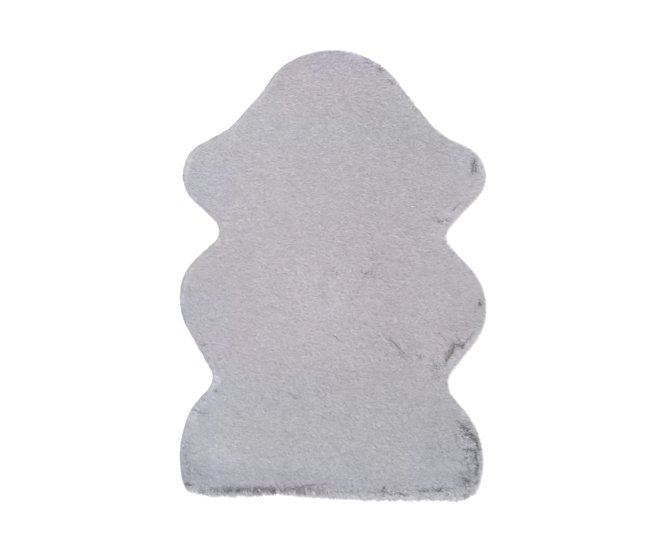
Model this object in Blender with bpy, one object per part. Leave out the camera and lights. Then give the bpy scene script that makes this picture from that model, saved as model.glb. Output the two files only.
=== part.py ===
"""Short-pile faux-fur rug, cut to the outline of an animal skin and lying flat: 0.61 x 0.90 m and 20 mm high.

Metres, +Z up. The origin is on the floor under the middle of the rug's box, and +Y points to the domed head
end. The rug is one piece of knitted fur: back and pile are one solid, flat below and softly rounded above.
"""

import math

import bmesh
import bpy
import numpy as np
from mathutils import Vector
from mathutils.geometry import delaunay_2d_cdt

NODE = "rug"

# Which way an arc bends: a lobe bulges out of the rug, a notch bites into it.
LOBE = 1
NOTCH = -1

# The arcs down each long side, from the head to the lower edge. Each side gives where the arc's middle lies
# along the rug (y), how far the arc's furthest point lies from the centre line (reach), and its radius.
SIDE_ARCS = (
    # name, bend, left (y, reach, radius), right (y, reach, radius)
    ("shoulder", NOTCH, (0.451, 0.133, 0.196), (0.416, 0.150, 0.162)),
    ("upper lobe", LOBE, (0.205, 0.299, 0.066), (0.201, 0.303, 0.062)),
    ("upper notch", NOTCH, (0.090, 0.225, 0.027), (0.080, 0.223, 0.027)),
    ("middle lobe", LOBE, (-0.045, 0.304, 0.117), (-0.063, 0.304, 0.118)),
    ("lower notch", NOTCH, (-0.201, 0.240, 0.038), (-0.213, 0.229, 0.045)),
    ("lower lobe", LOBE, (-0.360, 0.304, 0.190), (-0.366, 0.298, 0.136)),
    ("corner", LOBE, (-0.405, 0.298, 0.030), (-0.404, 0.292, 0.042)),
)
DOME_RADIUS = 0.162
DOME_Y = 0.289

# The lower edge rises a little on the left of the middle and sags on the right.
LOWER_EDGE_ARCS = (
    # name, bend, x, height of the edge, radius
    ("rise", NOTCH, -0.110, -0.434, 0.600),
    ("sag", LOBE, 0.140, -0.448, 0.600),
)

# The rim, from the edge of the flat sole up and over to the crown: distance in from the outline, and height.
RIM_SECTION = (
    # name, inset, height
    ("sole edge", 0.0070, 0.0000),
    ("under the rim", 0.0022, 0.0026),
    ("widest", 0.0000, 0.0066),
    ("rim", 0.0014, 0.0114),
    ("brow", 0.0056, 0.0157),
    ("shoulder", 0.0120, 0.0184),
    ("crown edge", 0.0195, 0.0194),
)
CROWN_HEIGHT = 0.0200
CROWN_INSET = 0.035

# The pile stands unevenly by this much either way, in slow swells.
UNEVENNESS = 0.0007
SWELLS = (
    # waves per metre along x, waves per metre along y, phase, share
    (5.1, 1.7, 0.4, 0.5),
    (-2.3, 4.6, 1.9, 0.3),
    (7.4, 6.8, 3.1, 0.2),
)

# Spacing of the mesh: along straight or wide stretches, round tight arcs, and across the crown, whose places
# keep a little clear of its edge.
EDGE_STEP = 0.0085
TURN_STEP = math.radians(12)
CROWN_STEP = 0.021
CROWN_CLEARANCE = 0.0115
SAME_PLACE = 1e-7

FUR_COLOUR = (0.515, 0.491, 0.527, 1)
FUR_ROUGHNESS = 0.95
SMOOTH_BELOW = math.radians(40)


def clear_scene():
    for obj in list(bpy.data.objects):
        bpy.data.objects.remove(obj, do_unlink=True)


def side_arcs(side, column):
    """The arcs down one long side as (centre, signed radius). side is -1 on the left and 1 on the right."""
    arcs = []
    for row in SIDE_ARCS:
        bend = row[1]
        y, reach, radius = row[column]
        arcs.append((Vector((side * (reach - bend * radius), y)), bend * radius))
    return arcs


def arcs_anticlockwise():
    """The outline's arcs as (centre, signed radius), in order. A notch has a negative radius."""
    dome = [(Vector((0, DOME_Y)), DOME_RADIUS)]
    lower_edge = [
        (Vector((x, height + bend * radius)), bend * radius)
        for _, bend, x, height, radius in LOWER_EDGE_ARCS
    ]
    return dome + side_arcs(-1, 2) + lower_edge + side_arcs(1, 3)[::-1]


def heading_between(arc, following):
    """The direction, as an angle, of the straight run that joins one arc to the next without a corner."""
    step = following[0] - arc[0]
    return math.atan2(step.y, step.x) - math.asin((following[1] - arc[1]) / step.length)


def arc_places(arc, heading_in, heading_out):
    """(point, inward direction) along an arc, from the heading at its start to the heading at its end."""
    centre, radius = arc
    bend = math.copysign(1, radius)
    turn = bend * (heading_out - heading_in) % math.tau
    steps = max(2, math.ceil(turn / TURN_STEP), math.ceil(turn * abs(radius) / EDGE_STEP))
    places = []
    for k in range(steps + 1):
        heading = heading_in + bend * turn * k / steps
        inward = Vector((-math.sin(heading), math.cos(heading)))
        places.append((centre - inward * radius, inward))
    return places


def run_places(start, end):
    """(point, inward direction) inside the straight run between two places that face the same way."""
    run = end[0] - start[0]
    steps = math.ceil(run.length / EDGE_STEP)
    return [(start[0] + run * (k / steps), start[1]) for k in range(1, steps)]


def outline():
    """(point, inward direction) round the outline, anticlockwise."""
    arcs = arcs_anticlockwise()
    headings = [heading_between(arc, arcs[(i + 1) % len(arcs)]) for i, arc in enumerate(arcs)]
    bends = [arc_places(arc, headings[i - 1], headings[i]) for i, arc in enumerate(arcs)]
    places = []
    for i, bend in enumerate(bends):
        places += bend + run_places(bend[-1], bends[(i + 1) % len(bends)][0])
    return places


def centred(points):
    """The points moved so that the middle of their box is the origin."""
    xs = [p.x for p in points]
    ys = [p.y for p in points]
    middle = Vector(((min(xs) + max(xs)) / 2, (min(ys) + max(ys)) / 2))
    return [p - middle for p in points]


def distances_to_edge(places, edge):
    """How far each place lies from the closed line through the edge's points."""
    start = np.array([p[:] for p in edge])
    run = np.roll(start, -1, axis=0) - start
    gap = np.array(places)[:, None] - start
    along = np.clip((gap * run).sum(2) / (run * run).sum(1), 0, 1)
    return np.linalg.norm(gap - along[..., None] * run, axis=2).min(1)


def crown_height(x, y, distance):
    """The height of the top at a place this far in from the outline."""
    edge_inset, edge_height = RIM_SECTION[-1][1:]
    share = min(1, max(0, (distance - edge_inset) / (CROWN_INSET - edge_inset)))
    rise = share * share * (3 - 2 * share)
    swell = sum(part * math.sin(math.tau * (fx * x + fy * y) + phase) for fx, fy, phase, part in SWELLS)
    return edge_height + (CROWN_HEIGHT - edge_height + UNEVENNESS * swell) * rise


def lies_inside(places, ring):
    """Whether each place lies inside the ring: a line to its right crosses it an odd number of times."""
    place = np.array(places)
    start = np.array([p[:] for p in ring])
    end = np.roll(start, -1, axis=0)
    x, y = place[:, 0, None], place[:, 1, None]
    spans = (start[:, 1] > y) != (end[:, 1] > y)
    rise = np.where(end[:, 1] == start[:, 1], 1, end[:, 1] - start[:, 1])
    crossing = start[:, 0] + (y - start[:, 1]) * (end[:, 0] - start[:, 0]) / rise
    return (spans & (x < crossing)).sum(1) % 2 == 1


def crown_places(ring, edge):
    """Places across the crown on a triangular grid, clear of its rim, and how far they lie from the outline."""
    row_step = CROWN_STEP * math.sqrt(3) / 2
    columns = math.ceil(max(abs(p.x) for p in ring) / CROWN_STEP)
    rows = math.ceil(max(abs(p.y) for p in ring) / row_step)
    grid = [
        ((column + row % 2 / 2) * CROWN_STEP, row * row_step)
        for row in range(-rows, rows + 1)
        for column in range(-columns - 1, columns + 1)
    ]
    clear = lies_inside(grid, ring) & (distances_to_edge(grid, ring) > CROWN_CLEARANCE)
    places = [grid[i] for i in np.flatnonzero(clear)]
    return places, distances_to_edge(places, edge)


def add_ring(mesh, edge, inwards, inset, height):
    return [mesh.verts.new((*(p + n * inset), height)) for p, n in zip(edge, inwards)]


def join_rings(mesh, lower, upper):
    for i in range(len(lower)):
        j = (i + 1) % len(lower)
        mesh.faces.new((lower[i], lower[j], upper[j], upper[i]))


def add_crown(mesh, ring, edge):
    """Fills the top inside the ring with triangles over the gently swelling crown."""
    flat_ring = [v.co.xy for v in ring]
    places, distances = crown_places(flat_ring, edge)
    inner = [mesh.verts.new((x, y, crown_height(x, y, d))) for (x, y), d in zip(places, distances)]
    verts = ring + inner
    border = [(i, (i + 1) % len(ring)) for i in range(len(ring))]
    flat = flat_ring + [Vector(p) for p in places]
    found = delaunay_2d_cdt(flat, border, [], 1, SAME_PLACE)
    triangles, origins = found[2], found[3]
    for triangle in triangles:
        mesh.faces.new([verts[origins[i][0]] for i in triangle])


def fur_material():
    material = bpy.data.materials.new("faux fur")
    material.use_nodes = True
    shader = material.node_tree.nodes["Principled BSDF"]
    shader.inputs["Base Color"].default_value = FUR_COLOUR
    shader.inputs["Roughness"].default_value = FUR_ROUGHNESS
    shader.inputs["Metallic"].default_value = 0
    return material


def make_rug():
    points, inwards = zip(*outline())
    edge = centred(points)
    mesh = bmesh.new()
    rings = [add_ring(mesh, edge, inwards, inset, height) for _, inset, height in RIM_SECTION]
    for lower, upper in zip(rings, rings[1:]):
        join_rings(mesh, lower, upper)
    mesh.faces.new(rings[0][::-1])
    add_crown(mesh, rings[-1], edge)
    bmesh.ops.triangulate(mesh, faces=[f for f in mesh.faces if len(f.verts) > 3])
    data = bpy.data.meshes.new(NODE)
    mesh.to_mesh(data)
    mesh.free()
    data.shade_smooth()
    data.set_sharp_from_angle(angle=SMOOTH_BELOW)
    data.materials.append(fur_material())
    rug = bpy.data.objects.new(NODE, data)
    bpy.context.scene.collection.objects.link(rug)


clear_scene()
make_rug()
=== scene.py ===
"""The looks of a short-pile faux-fur rug, cut to the outline of an animal skin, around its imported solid.

The rug is a knitted back, a dense underfur that stands on it, and a pile of tapering strands that is brushed
to the right and a little down. Metres, +Z up, +Y to the domed head end.
"""

import functools
import math

import bmesh
import bpy
import numpy as np
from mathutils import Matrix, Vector
from mathutils.bvhtree import BVHTree
from mathutils.geometry import delaunay_2d_cdt


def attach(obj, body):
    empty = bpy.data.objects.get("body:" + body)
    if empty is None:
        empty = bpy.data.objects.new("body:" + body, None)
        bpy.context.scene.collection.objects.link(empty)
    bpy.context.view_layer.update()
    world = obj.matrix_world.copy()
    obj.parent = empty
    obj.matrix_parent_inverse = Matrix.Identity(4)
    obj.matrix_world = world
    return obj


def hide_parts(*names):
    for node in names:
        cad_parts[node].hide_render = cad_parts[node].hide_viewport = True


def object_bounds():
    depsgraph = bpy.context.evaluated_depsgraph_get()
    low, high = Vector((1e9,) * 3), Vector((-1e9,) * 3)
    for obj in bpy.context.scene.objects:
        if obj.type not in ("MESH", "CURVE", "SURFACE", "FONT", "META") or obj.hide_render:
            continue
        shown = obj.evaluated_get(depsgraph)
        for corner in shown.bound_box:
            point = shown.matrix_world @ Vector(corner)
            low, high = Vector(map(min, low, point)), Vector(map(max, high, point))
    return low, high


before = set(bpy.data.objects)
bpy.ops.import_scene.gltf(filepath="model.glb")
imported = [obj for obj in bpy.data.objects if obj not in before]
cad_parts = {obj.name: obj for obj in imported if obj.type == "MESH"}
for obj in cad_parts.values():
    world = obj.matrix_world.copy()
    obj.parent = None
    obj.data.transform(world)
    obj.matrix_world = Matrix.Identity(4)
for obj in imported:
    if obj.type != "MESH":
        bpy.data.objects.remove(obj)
cad_low, cad_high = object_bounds()

NODE = "rug"
BODY = "root"

# Reading the solid: what counts as one place and as no length, the outline's smoothing, the grid of
# distances from it, and the step over which slopes are taken.
WELD = 0.00001
SAME_PLACE = 0.0000001
LEAST_LENGTH = 0.000000001
RING_TOLERANCE = 0.0002
OUTLINE_STEP = 0.001
OUTLINE_SMOOTHING = 0.006
GRID_STEP = 0.0025
GRID_MARGIN = 0.015
DISTANCE_CHUNK = 1000000
SLOPE_STEP = 0.0012

# Random numbers: the size of their table, how far the middle of a tuft strays in its cell, the gain that
# brings the noise to about -1 to 1, and the seeds.
NOISE_SIZE = 512
TUFT_JITTER = 0.42
NOISE_GAIN = 1.6
TUFT_SEED = 21
WIDE_TUFT_SEED = 22
NARROW_CLUMP_SEED = 23
WIDE_CLUMP_SEED = 24
FRINGE_LOCK_SEED = 25
LOCK_SEED = 26
WOBBLE_SEED = 41
JAG_SEED = 42
PILE_SEED = 5

# The knitted back: its cut line lies this far in from the widest line of the solid, and its edges are
# rounded by a share of its thickness. Its mesh has points this far apart round the edge and inside it. A
# face that points up by more than FACES_UP counts towards its flat area.
BACK_INSET = 0.007
BACK_THICKNESS = 0.0017
BACK_ROUNDING = 0.3
BACK_STEP = 0.004
BACK_CELL = 0.016
BACK_CLEARANCE = 0.008
BACK_SMOOTH_BELOW = math.radians(50)

# The rims of the fur and of the underfur are parts of ellipses round one line: how far in it lies and how
# high, how far each rim reaches out, up and down from it, and the angle at which each starts below. The
# underfur is a closed pad, and the crown of the fur rises from the rim to the solid's top over some
# distance.
RIM_LINE_INSET = 0.0165
RIM_LINE_HEIGHT = 0.0066
FUR_RIM = (0.0164, 0.0128, 0.0064)
FUR_FOOT = math.radians(-50)
UNDERFUR_RIM = (0.0118, 0.0060, 0.0060)
UNDERFUR_FOOT = math.radians(-62)
UNDERFUR_RINGS = 9
UNDERFUR_STEP = 0.0036
UNDERFUR_CELL = 0.0040
UNDERFUR_CLEARANCE = 0.0022
UNDERFUR_SOLE_CELL = 0.05
UNDERFUR_SOLE_CLEARANCE = 0.02
RIM_SAMPLES = 200
CROWN_RISE_REACH = 0.020

# On the windward sides, which the pile is brushed away from, the underfur reaches further out and the pile
# is darkened with painted shade. The pile reaches further out on the side that it is brushed to, where its
# rim gets a little painted shade as well, and less far on the other. The painted shade is full near the
# outline, and ends at this many times its reach.
WINDWARD_BULGE = 0.0022
WINDWARD_PAINTED_SHADE = 0.09
WINDWARD_REACH = 0.012
LEEWARD_PAINTED_SHADE = 0.12
LEEWARD_REACH = 0.010
SHADE_END = 1.2
BRUSHED_OUT = 0.0011

# Places where the edge of the pile stands further out, or less far.
HANGS = (
    # name, x, y, radius, distance
    ("dome, left", -0.090, 0.420, 0.035, 0.0014),
    ("left shoulder", -0.145, 0.360, 0.045, -0.0034),
    ("left shoulder, lower", -0.205, 0.295, 0.030, -0.0022),
    ("upper left lobe, above", -0.290, 0.220, 0.025, -0.0022),
    ("upper left lobe, below", -0.280, 0.145, 0.028, 0.0036),
    ("middle left lobe, above", -0.285, 0.000, 0.030, 0.0012),
    ("lower left notch, above", -0.245, -0.177, 0.022, -0.0008),
    ("lower left notch", -0.240, -0.207, 0.020, -0.0014),
    ("lower left notch, below", -0.272, -0.275, 0.030, 0.0026),
    ("right shoulder", 0.150, 0.345, 0.040, -0.0015),
    ("right shoulder, lower", 0.225, 0.285, 0.035, -0.0011),
    ("upper right lobe, below", 0.295, 0.171, 0.030, 0.0012),
    ("upper right notch", 0.225, 0.100, 0.025, 0.0014),
    ("middle right lobe, below", 0.275, -0.140, 0.030, -0.0018),
    ("lower right notch", 0.232, -0.205, 0.028, -0.0026),
    ("lower right notch, below", 0.262, -0.280, 0.032, 0.0040),
    ("lower right corner", 0.275, -0.438, 0.022, -0.0016),
    ("lower left corner", -0.292, -0.425, 0.016, -0.0006),
    ("lower edge", -0.268, -0.438, 0.016, -0.0036),
    ("lower edge", -0.233, -0.438, 0.012, 0.0044),
    ("lower edge", -0.201, -0.438, 0.012, 0.0034),
    ("lower edge", -0.165, -0.436, 0.030, 0.0024),
    ("lower edge", -0.115, -0.436, 0.035, -0.0018),
    ("lower edge", -0.056, -0.438, 0.035, 0.0010),
    ("lower edge", 0.000, -0.440, 0.035, 0.0020),
    ("lower edge", 0.064, -0.444, 0.035, 0.0014),
    ("lower edge", 0.124, -0.448, 0.035, -0.0044),
    ("lower edge", 0.184, -0.448, 0.035, -0.0030),
)

# The pile: the depth from its tips to the underfur, and its strands. A strand is widest at its bend, and
# its width varies between two shares. It leans more above its bend than below it, and rises clear of the
# surface. Towards the rim the strands droop, less below the bend than above it, and some reach out as
# wisps. Where the tip is gathered into a tuft, the bend follows by a share.
PILE_DEPTH = 0.0068
STRAND_SPACING = 0.00106
STRAND_WIDTH = 0.00074
STRAND_WIDTHS = (0.75, 1.25)
ROOT_SINK = 0.0010
LEAN_AT_ROOT = math.radians(24)
LEAN_AT_TIP = math.radians(50)
MOST_LEAN = 1.5
STRAND_CLEARANCE = 0.30
RIM_DROOP = 0.95
ROOT_DROOP = 0.3
BEND_SHIFT = 0.4
CROWN_SPREAD = 0.0004
RIM_SPREAD = 0.0015
WISP_SHARE = 0.36
WISP_LENGTH = 0.0060
CROWN_TWIST = math.radians(46)
RIM_TWIST = math.radians(30)
LONGEST_STRAND = 0.017
LOWEST_TIP = 0.0004

# A strand is two triangles with four points: its root, the two sides of its bend and its tip. Each point
# has its height along the strand, and how much painted shade it gets in a parting. The last two rows are the
# triangles' corners and their places in the strand's own cell of the map. Its face is turned upwards, and a
# strand that stands nearly straight up takes its sideways direction from the surface.
UPWARD = np.array([0, 0, 0.6])
LEVEL_ENOUGH = 0.1
STRAND_RISE = np.array([0, 0.5, 0.5, 1])
STRAND_ROOTINESS = np.array([1, 0.8, 0.8, 0.15])
STRAND_CORNERS = np.array([0, 1, 2, 2, 1, 3])
STRAND_MAP = np.array([[0.5, 0.1], [0.85, 0.5], [0.15, 0.5], [0.15, 0.5], [0.85, 0.5], [0.5, 0.9]])

# The pile is brushed to the right and a little down, more steeply towards the lower edge. Near the outline
# it fans out over the rim. The headings are in degrees from the right.
HEADING_AT_HEAD = -8
HEADING_AT_TAIL = -30
FAN = 0.8
FAN_REACH = 0.024

# How far its heading wanders, in degrees: in two slow swirls, in each tuft, in each wide tuft and in each
# strand. The tufts are cells turned to this heading, of this length and width, to whose middles the tips
# are gathered by a share.
SLOW_SWIRLS = (
    # cell, degrees, seed
    ((0.09, 0.12), 9, 31),
    ((0.03, 0.03), 8, 32),
)
TUFT_HEADING = -16
TUFT = (0.0032, 0.0028)
WIDE_TUFT = (0.0075, 0.0055)
TUFT_SWIRL = 12
WIDE_TUFT_SWIRL = 5
STRAND_SWIRL = 9
RIM_SWIRL = 12
TUFT_GATHER = 0.28
WIDE_TUFT_GATHER = 0.04

# How the lean, as a share, and the brightness of a strand vary. The brightness follows the ripples as
# painted light on their crests and painted shade in their troughs; the tufts' and strands' brightness
# differs at random.
RIPPLE_LEAN = 0.09
TUFT_LEAN = 0.06
STRAND_LEAN = 0.06
RIM_LEAN = 0.14
RIPPLE_PAINTED_LIGHT = 0.040
TUFT_SHADE = 0.032
STRAND_SHADE = 0.095

# Ripples of the pile, which slope down to the right.
RIPPLE_SLOPE = -14
RIPPLE_LIFT = 0.00035
RIPPLES = (
    # cell, share, seed
    ((0.0100, 0.0048), 0.7, 11),
    ((0.0230, 0.01248), 0.45, 12),
)

# At the tail end, below this y, and where the outline faces down the rug by this much, the pile hangs over
# the edge in clumps that bulge, narrow to the left of this x and wide to the right. A clump's bulge has a
# mean and a variation, and where it is at its neutral share the edge stays in its place.
RAGGED_BELOW = -0.385
RAGGED_SPAN = 0.02
RAGGED_FACING = 0.2
RAGGED_FACING_SPAN = 0.5
RAGGED_REACH = 0.020
CLUMP_SPLIT = -0.02
NARROW_CLUMP = (0.0056, 0.030)
WIDE_CLUMP = (0.0130, 0.026)
CLUMP_GATHER = 0.16
CLUMP_BULGE = 0.0052
CLUMP_HALF_WIDTH = 0.6
CLUMP_MEAN = 0.6
CLUMP_VARIATION = 0.4
CLUMP_NEUTRAL = 0.4

# At the tail end the pile also hangs in a fringe of thin locks, which is full over the outer half of its
# reach.
FRINGE_LOCK = (0.0024, 0.012)
FRINGE_GATHER = 0.70
FRINGE_SHADE = 0.20
FRINGE_SHARE_ON_RIGHT = 0.5
FRINGE_REACH = 0.017

# On the left, dark lines run down the fringe: the span of x, how many, the y where they start and end, how
# far they slant to the right, and their openings.
FRINGE_LINES_SPAN = (-0.222, -0.012)
FRINGE_LINES = 66
FRINGE_LINE_TOP = (-0.427, -0.411)
FRINGE_LINE_FOOT = (-0.440, -0.429)
FRINGE_LINE_SLANT = (-0.003, 0.009)
FRINGE_LINE_OPENING = (0.0004, 0.0014)

# Places where the pile is mussed.
MUSSED = (
    # name, x, y, the half width and half height over which it fades, turn, strength
    ("crease", 0.258, -0.142, 0.030, 0.012, 48, 0.4),
    ("above the crease", 0.255, -0.110, 0.024, 0.022, 0, 0.25),
    ("lower right side", 0.276, -0.360, 0.022, 0.055, 0, 0.8),
    ("lower right strokes", 0.266, -0.312, 0.024, 0.026, 0, 1.0),
    ("lower right lobe", 0.215, -0.350, 0.060, 0.060, 0, 0.22),
    ("lower right notch", 0.215, -0.186, 0.018, 0.022, 0, 0.6),
    ("lower left edge", -0.291, -0.350, 0.011, 0.055, 0, 0.4),
    ("lower right corner", 0.268, -0.408, 0.022, 0.018, 0, 0.8),
    ("lower edge, right", 0.190, -0.428, 0.050, 0.009, 0, 0.8),
    ("lower edge, right of the middle", 0.110, -0.430, 0.040, 0.010, 0, 0.9),
    ("lower edge, middle", 0.020, -0.430, 0.050, 0.008, 0, 0.5),
    ("lower edge, left of the middle", -0.070, -0.424, 0.050, 0.008, 0, 0.9),
    ("lower edge, left", -0.190, -0.426, 0.080, 0.009, 0, 1.0),
    ("lower left corner", -0.268, -0.394, 0.022, 0.020, 0, 0.35),
    ("lower left side", -0.262, -0.268, 0.018, 0.014, -30, 0.3),
    ("upper right lobe", 0.281, 0.219, 0.010, 0.022, 0, 0.8),
    ("upper right notch", 0.220, 0.110, 0.016, 0.008, 0, 0.5),
    ("edge of the dome", 0.090, 0.416, 0.024, 0.010, -35, 0.5),
    ("middle lobe, tip", 0.292, -0.056, 0.008, 0.012, 0, 0.6),
    ("middle lobe, edge", 0.286, -0.088, 0.014, 0.028, 0, 0.4),
    ("middle", 0.000, 0.008, 0.018, 0.012, 0, 0.35),
    ("right of the middle", 0.070, 0.004, 0.018, 0.009, 0, 0.40),
    ("lower half", 0.125, -0.080, 0.030, 0.030, -30, 0.15),
    ("lower half, left of the lines", 0.095, -0.130, 0.014, 0.026, 0, 0.25),
    ("lower half, lines", 0.140, -0.150, 0.060, 0.030, -38, 0.15),
    ("lower half, below the crease", 0.205, -0.185, 0.036, 0.026, 0, 0.20),
)
MUSSED_POWER = 2
MUSSED_GATHER = 0.40
MUSSED_SWIRL = 26
MUSSED_LIFT = 0.25
MUSSED_SHADE = 0.15

# In mussed pile the brightness changes from lock to lock. The locks are turned by this angle from the
# tufts.
LOCK = (0.0055, 0.0020)
LOCK_TURN = -20
LOCK_SHADE = 0.20

# Mussed pile is full of short partings, the ruffles, which are narrower where it is less mussed. Long faint
# partings, the brush lines, run along the lay all over the rug.
RUFFLES_PER_AREA = 14000
RUFFLE_SCATTER = 0.7
RUFFLE_LEAST_SHARE = 0.5
RUFFLE_TURN = 38
RUFFLE_HALF_LENGTH = (0.0014, 0.0040)
RUFFLE_OPENING = (0.0005, 0.0013)
BRUSH_LINES = 110
BRUSH_LINE_TURN = 12
BRUSH_LINE_HALF_LENGTH = (0.005, 0.016)
BRUSH_LINE_OPENING = (0.0002, 0.0005)

# Partings, where the pile has opened: how far the tips stand off each side of the line, and the line's
# points.
PARTINGS = (
    # opening, points (x, y)
    # The crease on the right, above the lower notch.
    (0.0027, (0.223, -0.175), (0.229, -0.160), (0.237, -0.149), (0.241, -0.137), (0.252, -0.136)),
    (0.0031, (0.229, -0.161), (0.236, -0.152), (0.240, -0.142)),
    (0.0027, (0.249, -0.137), (0.257, -0.139), (0.262, -0.136)),
    (0.0022, (0.260, -0.137), (0.256, -0.146)),
    (0.0010, (0.259, -0.138), (0.268, -0.127), (0.275, -0.121), (0.282, -0.110)),
    (0.0008, (0.272, -0.131), (0.280, -0.122), (0.286, -0.110)),
    (0.0009, (0.230, -0.149), (0.240, -0.154)),
    (0.0009, (0.247, -0.122), (0.256, -0.131)),
    # The tip of the middle right lobe.
    (0.0028, (0.289, -0.055), (0.299, -0.057)),
    # The upper right lobe and the notch under it.
    (0.0012, (0.284, 0.238), (0.280, 0.224), (0.278, 0.214), (0.279, 0.201)),
    (0.0008, (0.284, 0.219), (0.293, 0.216)),
    (0.0009, (0.284, 0.217), (0.286, 0.206)),
    (0.0007, (0.217, 0.265), (0.226, 0.262)),
    (0.0013, (0.209, 0.107), (0.222, 0.108)),
    (0.0010, (0.225, 0.115), (0.231, 0.109)),
    (0.0008, (0.238, 0.128), (0.247, 0.138), (0.257, 0.146)),
    # The right edge of the dome.
    (0.0012, (0.069, 0.427), (0.077, 0.423)),
    (0.0012, (0.093, 0.414), (0.103, 0.406)),
    (0.0010, (0.110, 0.395), (0.121, 0.383)),
    # The middle, and right of it.
    (0.0007, (-0.008, 0.012), (0.003, 0.011), (0.011, 0.005), (0.007, 0.000)),
    (0.0003, (-0.012, 0.008), (-0.022, -0.005), (-0.026, -0.016), (-0.024, -0.030)),
    (0.0006, (-0.025, -0.032), (-0.012, -0.039), (0.000, -0.045)),
    (0.0007, (0.072, 0.035), (0.085, 0.031)),
    (0.0006, (0.088, 0.023), (0.103, 0.025)),
    (0.0006, (0.056, 0.008), (0.062, 0.000)),
    (0.0006, (0.065, 0.004), (0.073, 0.009)),
    (0.0007, (0.078, 0.000), (0.086, -0.006)),
    (0.0008, (0.131, 0.031), (0.136, 0.025)),
    # The lower half, and the lower right notch.
    (0.0010, (0.100, -0.117), (0.118, -0.130), (0.136, -0.147), (0.154, -0.163)),
    (0.0008, (0.110, -0.131), (0.122, -0.143)),
    (0.0008, (0.132, -0.150), (0.146, -0.166)),
    (0.0007, (0.120, -0.152), (0.151, -0.170)),
    (0.0006, (0.142, -0.131), (0.158, -0.146)),
    (0.0009, (-0.003, -0.114), (0.017, -0.131)),
    (0.0008, (0.167, -0.155), (0.177, -0.165)),
    (0.0008, (0.170, -0.166), (0.177, -0.158)),
    (0.0009, (0.196, -0.164), (0.203, -0.174), (0.208, -0.185)),
    (0.0008, (0.206, -0.195), (0.217, -0.207)),
    (0.0008, (0.198, -0.180), (0.205, -0.182)),
    (0.0006, (0.211, -0.110), (0.231, -0.136)),
    (0.0009, (-0.090, -0.233), (-0.062, -0.249)),
    (0.0007, (-0.192, -0.270), (-0.172, -0.287)),
    (0.0007, (-0.098, -0.303), (-0.089, -0.313)),
    # The upper half.
    (0.0006, (-0.026, 0.325), (0.014, 0.309)),
    # The left side, from the lower notch down.
    (0.0012, (-0.258, -0.139), (-0.252, -0.136)),
    (0.0012, (-0.236, -0.229), (-0.227, -0.232)),
    (0.0010, (-0.259, -0.245), (-0.251, -0.248)),
    (0.0014, (-0.277, -0.267), (-0.270, -0.269)),
    (0.0010, (-0.271, -0.269), (-0.262, -0.272), (-0.251, -0.275)),
    (0.0006, (-0.295, -0.324), (-0.287, -0.331)),
    (0.0006, (-0.297, -0.338), (-0.288, -0.345)),
    (0.0006, (-0.295, -0.356), (-0.287, -0.361)),
    (0.0006, (-0.296, -0.371), (-0.286, -0.377)),
    (0.0006, (-0.294, -0.386), (-0.284, -0.393)),
    (0.0006, (-0.293, -0.400), (-0.287, -0.404)),
    (0.0009, (-0.226, -0.390), (-0.221, -0.392)),
    (0.0022, (-0.291, -0.413), (-0.280, -0.417)),
    # The lower right lobe.
    (0.0014, (0.247, -0.288), (0.253, -0.295)),
    (0.0023, (0.256, -0.299), (0.264, -0.303), (0.270, -0.308)),
    (0.0009, (0.259, -0.307), (0.268, -0.314)),
    (0.0018, (0.263, -0.314), (0.272, -0.315), (0.280, -0.318), (0.289, -0.326)),
    (0.0018, (0.273, -0.319), (0.284, -0.327), (0.291, -0.336), (0.291, -0.348)),
    (0.0015, (0.260, -0.346), (0.269, -0.347), (0.280, -0.346), (0.291, -0.347)),
    (0.0019, (0.291, -0.346), (0.286, -0.354), (0.284, -0.361), (0.288, -0.369)),
    (0.0020, (0.288, -0.367), (0.290, -0.380), (0.285, -0.389), (0.287, -0.400)),
    (0.0008, (0.250, -0.368), (0.260, -0.375)),
    (0.0008, (0.262, -0.358), (0.271, -0.362)),
    (0.0009, (0.268, -0.380), (0.275, -0.389)),
    (0.0015, (0.262, -0.406), (0.274, -0.410)),
    (0.0014, (0.291, -0.407), (0.286, -0.416)),
    (0.0012, (0.258, -0.439), (0.268, -0.433)),
    # The lower edge.
    (0.0010, (-0.265, -0.424), (-0.251, -0.430)),
    (0.0010, (-0.158, -0.424), (-0.140, -0.422), (-0.125, -0.427), (-0.106, -0.428)),
    (0.0011, (-0.092, -0.428), (-0.072, -0.420), (-0.046, -0.417), (-0.030, -0.414)),
    (0.0008, (-0.026, -0.414), (-0.008, -0.414)),
    (0.0008, (0.030, -0.429), (0.048, -0.432)),
    (0.0013, (0.096, -0.430), (0.100, -0.423), (0.106, -0.417)),
    (0.0012, (0.129, -0.433), (0.151, -0.438)),
    (0.0013, (0.167, -0.426), (0.180, -0.429), (0.193, -0.427)),
    (0.0012, (0.196, -0.429), (0.209, -0.425)),
    (0.0017, (0.208, -0.428), (0.216, -0.422)),
    (0.0009, (0.224, -0.421), (0.240, -0.424)),
)

# A parting moves the strands within this reach, all but a few strays. Its line wobbles and its width jags.
# Of a strand's root, bend and tip, the tip moves most.
COMB_REACH = 0.012
STRAYS = 0.06
WOBBLE = 0.0018
WOBBLE_CELL = 0.0050
JAG = 0.5
COMB_SHARES = (0.4, 0.7, 1)

# Strands in a parting get painted shade, most at their roots and hardly at their tips, with a little painted
# highlight towards the tips, over this many times its opening, and fully so in one that opens wide. A faint
# one moves its strands less. Too near the outline to open, from the first inset here over the span of the
# second, it is a thin line of strands with painted shade in place of the parting's shadow.
CLEFT_PAINTED_SHADE = 0.94
LIP_PAINTED_HIGHLIGHT = 0.10
CLEFT_SPREAD = 1.8
WIDE_CLEFT = 0.0018
FAINT_OPENING = 0.0009
PARTING_INSET = (0.006, 0.007)
CLOSED_PARTING_PAINTED_SHADE = 0.55
CLOSED_PARTING_SHADE_SPREAD = 0.9

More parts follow.
